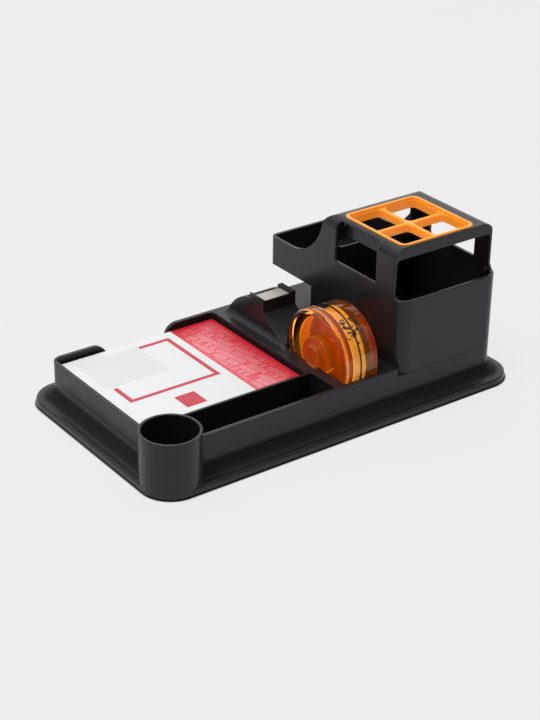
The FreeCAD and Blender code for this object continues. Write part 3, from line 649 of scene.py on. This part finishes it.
def slab(bm, low, high, inset, radius, bottom, top):
    """Flat block with rounded corners, drawn in by inset, from the bottom's height to the top's."""
    for end in stack_loops(bm, [rounded_loop(low, high, inset, radius, z, steps=3) for z in (bottom, top)]):
        fill(bm, [end])


def quarter_round(radius, steps=5):
    """(inset, drop) pairs of a rounded top edge, from its side to its top."""
    angles = [math.radians(90 * step / steps) for step in range(steps + 1)]
    return [(radius * (1 - math.cos(angle)), radius * (1 - math.sin(angle))) for angle in angles]


def softened(profile, radius, steps=4, side_share=0.4):
    """Closed (x, r) profile with each corner off the axis rounded, within a share of its two sides."""
    points = []
    for index, (x, r) in enumerate(profile):
        corner = Vector((x, r))
        before = Vector(profile[index - 1]) - corner
        after = Vector(profile[(index + 1) % len(profile)]) - corner
        reach = min(radius, side_share * before.length, side_share * after.length)
        if r < TINY or reach < TINY:
            points.append(corner)
            continue
        start = corner + before.normalized() * reach
        end = corner + after.normalized() * reach
        for step in range(steps + 1):
            share = step / steps
            points.append(start.lerp(corner, share).lerp(corner.lerp(end, share), share))
    return points


def turned(bm, profile, axis, steps=144, ripple=None):
    """Closed (x, r) profile turned about the wheel's axis; ripple(x, r, angle) raises the radius."""
    axis_y, axis_z = axis
    rings = []
    for step in range(steps):
        angle = 2 * math.pi * step / steps
        ring = []
        for x, r in profile:
            reach = r + (ripple(x, r, angle) if ripple else 0.0)
            ring.append(bm.verts.new((x, axis_y + reach * math.cos(angle), axis_z + reach * math.sin(angle))))
        rings.append(ring)
    for step, ring in enumerate(rings):
        skin(bm, rings[step - 1], ring)
    bmesh.ops.remove_doubles(bm, verts=bm.verts, dist=TINY)
    bmesh.ops.dissolve_degenerate(bm, edges=bm.edges, dist=TINY)


def wheel_axis():
    """Place of the wheel's axis in Y and Z, from its joint."""
    joint = next(j for j in frame["joints"] if j["name"] == "wheel_spin")
    return joint["pos_m"][1], joint["pos_m"][2]


class ORGANIZER_OT_shells(bpy.types.Operator):
    """Give the base, the tower and the drawer their black plastic"""

    bl_idname = "organizer.shells"
    bl_label = "Black shells"

    def execute(self, context):
        material = black_plastic(context.scene.organizer.shell)
        dress(("base_shell", "tower_shell", "blade_holder", "drawer_tray", "drawer_front", "bottom_plate"),
              material)
        return {"FINISHED"}


class ORGANIZER_OT_pen_grid(bpy.types.Operator):
    """Make the orange grid with rounded bars"""

    bl_idname = "organizer.pen_grid"
    bl_label = "Pen grid"

    def execute(self, context):
        settings = context.scene.organizer.grid
        low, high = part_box("pen_grid")
        bm = bmesh.new()
        edge = quarter_round(settings.edge_radius)
        lip = high.z - settings.lip_height
        outer_radius = settings.corner_radius
        rows = [rounded_loop(low, high, settings.overlap, outer_radius, low.z),
                rounded_loop(low, high, settings.overlap, outer_radius, lip),
                rounded_loop(low, high, 0, outer_radius, lip)]
        rows += [rounded_loop(low, high, inset, outer_radius, high.z - drop) for inset, drop in edge]
        bottom, top = stack_loops(bm, rows)
        shelf = high.z - settings.bar_drop
        narrow = settings.rim - settings.step
        rows = [rounded_loop(low, high, narrow, outer_radius, shelf)]
        rows += [rounded_loop(low, high, narrow - inset, outer_radius, high.z - drop) for inset, drop in edge]
        shelf_edge, inner_top = stack_loops(bm, rows)
        fill(bm, [top, inner_top])
        bottoms, shelves = [bottom], [shelf_edge]
        cell = (high.x - low.x - 2 * settings.rim - settings.bar) / 2
        soft = settings.rim_soft * settings.step / settings.bar_round
        for column in range(2):
            for row in range(2):
                x = low.x + settings.rim + column * (cell + settings.bar)
                y = low.y + settings.rim + row * (cell + settings.bar)
                walls = [rounded_loop((x, y), (x + cell, y + cell), 0, settings.cell_radius, low.z)]
                for inset, drop in quarter_round(settings.bar_round):
                    left, right = (soft, 1.0) if column == 0 else (1.0, soft)
                    front, back = (soft, 1.0) if row == 0 else (1.0, soft)
                    corner = (x - left * inset, y - front * inset)
                    far = (x + cell + right * inset, y + cell + back * inset)
                    radius = settings.cell_radius + soft * inset
                    walls.append(rounded_loop(corner, far, 0, radius, shelf - drop))
                cell_bottom, cell_top = stack_loops(bm, walls)
                bottoms.append(cell_bottom)
                shelves.append(cell_top)
        fill(bm, bottoms)
        fill(bm, shelves)
        make_piece("pen_grid_frame", bm, orange_plastic(settings), "grid", ["pen_grid"])
        return {"FINISHED"}


class ORGANIZER_OT_tape_wheel(bpy.types.Operator):
    """Make the two clear halves of the tape wheel, and print the sleeve"""

    bl_idname = "organizer.tape_wheel"
    bl_label = "Tape wheel"

    def execute(self, context):
        settings = context.scene.organizer.wheel
        axis = wheel_axis()
        web_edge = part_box("wheel_label")[1].z - axis[1] - settings.draft / 2
        material = amber_plastic("amber_wheel", settings, axis, web_edge)
        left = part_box("wheel_left_half")[0]
        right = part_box("wheel_right_half")[1]
        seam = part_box("wheel_left_half")[1].x
        self.half(settings, material, axis, "wheel_left_half", left.x, seam, settings.near_recess)
        self.half(settings, material, axis, "wheel_right_half", right.x, seam, settings.far_recess)
        set_finish(frame["nodes"]["wheel_label"], sleeve_paper(context.scene.organizer.sleeve, axis))
        return {"FINISHED"}

    def half(self, settings, material, axis, node, side, seam, recess):
        """Rim, web and hub tube from one side to the seam, with fine ribs round the recess."""
        low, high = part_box(node)
        radius = (high.z - low.z) / 2
        rim_inner = radius - settings.rim
        inward = 1 if seam > side else -1
        web_outer = side + inward * recess
        web_inner = web_outer + inward * settings.web
        tube = settings.bore + settings.hub_wall
        foot = rim_inner - settings.draft
        rim_edge = [(side + inward * drop, radius - inset)
                    for inset, drop in reversed(quarter_round(settings.edge_radius))]
        recess_wall = [(web_outer + (side - web_outer) * share, foot + (rim_inner - foot) * share)
                       for share in RIB_SHARES]
        profile = rim_edge + [
            (seam, radius), (seam, rim_inner), (web_inner, rim_inner), (web_inner, tube), (seam, tube),
            (seam, settings.bore), (web_outer, settings.bore),
        ] + recess_wall

        def ripple(x, r, angle):
            """Ribs on the recess wall that fade at its two ends."""
            if not foot + TINY < r < rim_inner - TINY or abs(x - side) > recess or r < tube:
                return 0.0
            return -settings.rib_height * (0.5 + 0.5 * math.cos(settings.rib_count * angle))

        bm = bmesh.new()
        turned(bm, profile, axis, steps=4 * settings.rib_count, ripple=ripple)
        make_piece(node + "_clear", bm, material, "wheel", [node], sharp=30.0)


class ORGANIZER_OT_hub(bpy.types.Operator):
    """Make the hub's two pieces with soft edges"""

    bl_idname = "organizer.hub"
    bl_label = "Hub"

    def execute(self, context):
        settings = context.scene.organizer.hub
        wheel = context.scene.organizer.wheel
        axis = wheel_axis()
        material = amber_plastic("amber_hub", wheel, axis, 2 * settings.drum)
        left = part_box("wheel_left_half")[0].x
        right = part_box("wheel_right_half")[1].x
        near = left + wheel.near_recess - settings.play
        far = right - wheel.far_recess + settings.play
        core_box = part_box("spindle_core")
        cap_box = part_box("spindle_cap")
        self.end_piece(settings, material, axis, "spindle_core", left, -1, near, core_box[0].x, far)
        self.end_piece(settings, material, axis, "spindle_cap", right, 1, far, cap_box[1].x, far)
        return {"FINISHED"}

    def end_piece(self, settings, material, axis, node, side, outward, inner, end, shaft_end):
        """Boss with its ring groove and hollow stub, and the shaft on the core's inner side."""
        outer = side + outward * settings.drum_proud
        floor = end - outward * settings.stub_hollow
        groove_floor = outer - outward * settings.groove_depth
        groove_inner = settings.groove - settings.groove_width
        profile = [
            (inner, settings.drum), (outer, settings.drum), (outer, settings.groove),
            (groove_floor, settings.groove), (groove_floor, groove_inner), (outer, groove_inner),
            (outer, settings.stub), (end, settings.stub), (end, settings.stub - settings.stub_wall),
            (floor, settings.stub - settings.stub_wall), (floor, 0.0),
        ]
        if shaft_end == inner:
            profile += [(inner, 0.0)]
        else:
            profile += [(shaft_end, 0.0), (shaft_end, settings.shaft), (inner, settings.shaft)]
        bm = bmesh.new()
        turned(bm, softened(profile, settings.edge_radius), axis)
        make_piece(node + "_clear", bm, material, "spindle", [node])


class ORGANIZER_OT_cutter(bpy.types.Operator):
    """Give the blade its rolled steel"""

    bl_idname = "organizer.cutter"
    bl_label = "Cutter"

    def execute(self, context):
        settings = context.scene.organizer.cutter
        dress(("cutter_blade",), brushed_steel(settings.colour, settings.roughness))
        return {"FINISHED"}


class ORGANIZER_OT_note_pad(bpy.types.Operator):
    """Make the stack of sheets and its printed cover"""

    bl_idname = "organizer.note_pad"
    bl_label = "Note pad"

    def execute(self, context):
        settings = context.scene.organizer.pad
        low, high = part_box("pad_sheets")
        chance = random.Random(settings.seed)
        bm = bmesh.new()
        rise = (high.z - low.z) / settings.sheet_count
        for index in range(settings.sheet_count):
            inset = chance.uniform(0.0, settings.sheet_slip)
            foot = low.z + index * rise
            slab(bm, low, high, inset, settings.corner_radius, foot, foot + SHEET_FILL * rise)
        make_piece("pad_stack", bm, sheet_paper(settings), "note_pad", ["pad_sheets"])

        low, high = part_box("pad_cover")
        bm = bmesh.new()
        slab(bm, low, high, 0, settings.corner_radius, low.z, high.z)
        cover = cover_print(settings, low, high)
        make_piece("pad_cover_sheet", bm, cover, "note_pad", ["pad_cover"])
        dress(("pad_backing",), plain_finish("backing_board", settings.board, roughness=0.8))
        return {"FINISHED"}


class ORGANIZER_OT_underside(bpy.types.Operator):
    """Give the feet, the screws and the ballast their finishes"""

    bl_idname = "organizer.underside"
    bl_label = "Underside"

    def execute(self, context):
        settings = context.scene.organizer.underside
        feet = [name for name in frame["nodes"] if name.startswith("foot_")]
        dress(feet, plain_finish("foot_rubber", settings.foot_colour, roughness=0.8))
        zinc = plain_finish("screw_zinc", settings.screw_colour, roughness=0.35, metallic=1.0)
        dress(("base_screws", "tower_screws"), zinc)
        steel = plain_finish("ballast_steel", settings.ballast_colour, roughness=0.5, metallic=1.0)
        dress(("ballast_weight",), steel)
        return {"FINISHED"}


class ORGANIZER_OT_stage(bpy.types.Operator):
    """Make the camera, the pale floor and the soft light"""

    bl_idname = "organizer.stage"
    bl_label = "Stage"

    def execute(self, context):
        settings = context.scene.organizer.stage
        scene = context.scene
        camera = bpy.data.objects.new("camera", bpy.data.cameras.new("camera"))
        scene.collection.objects.link(camera)
        camera.location = settings.camera_place
        camera.rotation_euler = settings.camera_turn
        camera.data.lens = settings.lens
        camera.data.sensor_width = 36.0
        camera.data.clip_start = 0.05
        scene.camera = camera

        bm = bmesh.new()
        bmesh.ops.create_grid(bm, x_segments=1, y_segments=1, size=settings.floor_reach)
        mesh = bpy.data.meshes.new("floor")
        bm.to_mesh(mesh)
        bm.free()
        floor = bpy.data.objects.new("floor", mesh)
        scene.collection.objects.link(floor)
        finish = Finish("pale_floor", {
            "Roughness": 0.9, "Specular IOR Level": 0.1, "Base Color": opaque(settings.floor_colour),
            "Emission Color": (1.0, 1.0, 1.0, 1.0),
        })
        x, y = finish.axes()[:2]
        # Painted shadow: the floor's glow fades out under and round the base.
        corner = settings.foot_corner
        past = []
        for along, half in ((x, (cad_box[1].x - cad_box[0].x) / 2), (y, (cad_box[1].y - cad_box[0].y) / 2)):
            over = finish.math("SUBTRACT", finish.math("ABSOLUTE", along), half - corner)
            past.append(finish.math("MAXIMUM", over, 0.0))
        painted_glow = finish.ramp(finish.distance(*past), corner, corner + settings.shade_reach, low=0.0,
                           high=settings.floor_glow, kind="SMOOTHSTEP")
        finish.set("Emission Strength", painted_glow)
        set_finish(floor, finish.material)

        light = bpy.data.lights.new("soft_light", "AREA")
        light.shape = "SQUARE"
        light.size = settings.box_side
        light.energy = settings.box_power
        lamp = bpy.data.objects.new("soft_light", light)
        lamp.location = settings.box_place
        lamp.rotation_euler = Vector(settings.box_place).to_track_quat("Z", "Y").to_euler()
        scene.collection.objects.link(lamp)

        world = bpy.data.worlds.new("studio")
        world.use_nodes = True
        tree = world.node_tree
        back = tree.nodes["Background"]
        back.inputs["Color"].default_value = (1.0, 1.0, 1.0, 1.0)
        place = tree.nodes.new("ShaderNodeTexCoord")
        facing = tree.nodes.new("ShaderNodeVectorMath")
        facing.operation = "DOT_PRODUCT"
        facing.inputs[1].default_value = Vector(settings.far_side).normalized()
        tree.links.new(place.outputs["Generated"], facing.inputs[0])
        share = tree.nodes.new("ShaderNodeMapRange")
        share.interpolation_type = "SMOOTHSTEP"
        sky = {"From Min": -0.1, "From Max": 0.85, "To Min": settings.near_sky, "To Max": settings.far_sky}
        for socket, value in sky.items():
            share.inputs[socket].default_value = value
        tree.links.new(facing.outputs["Value"], share.inputs["Value"])
        tree.links.new(share.outputs[0], back.inputs["Strength"])
        scene.world = world
        scene.view_settings.view_transform = "Standard"
        return {"FINISHED"}


PIECE_OPERATORS = (
    ORGANIZER_OT_shells,
    ORGANIZER_OT_pen_grid,
    ORGANIZER_OT_tape_wheel,
    ORGANIZER_OT_hub,
    ORGANIZER_OT_cutter,
    ORGANIZER_OT_note_pad,
    ORGANIZER_OT_underside,
    ORGANIZER_OT_stage,
)


class ORGANIZER_PT_panel(bpy.types.Panel):
    """Lists the organizer's operators and settings"""

    bl_label = "Desk organizer"
    bl_idname = "ORGANIZER_PT_panel"
    bl_space_type = "VIEW_3D"
    bl_region_type = "UI"
    bl_category = "Organizer"

    def draw(self, context):
        layout = self.layout
        for operator in PIECE_OPERATORS:
            layout.operator(operator.bl_idname)
        settings = context.scene.organizer
        for group in OrganizerSettings.__annotations__:
            box = layout.box()
            box.label(text=group.capitalize())
            values = getattr(settings, group)
            for name in type(values).__annotations__:
                box.prop(values, name)


CLASSES = (
    ShellSettings, GridSettings, WheelSettings, HubSettings, SleeveSettings, PadSettings, CutterSettings,
    UndersideSettings, StageSettings, OrganizerSettings, *PIECE_OPERATORS, ORGANIZER_PT_panel,
)


def register():
    for each in CLASSES:
        bpy.utils.register_class(each)
    bpy.types.Scene.organizer = PointerProperty(type=OrganizerSettings)


def unregister():
    del bpy.types.Scene.organizer
    for each in reversed(CLASSES):
        bpy.utils.unregister_class(each)


def main():
    register()
    for operator in PIECE_OPERATORS:
        group, name = operator.bl_idname.split(".")
        getattr(getattr(bpy.ops, group), name)()


if __name__ == "__main__":
    main()
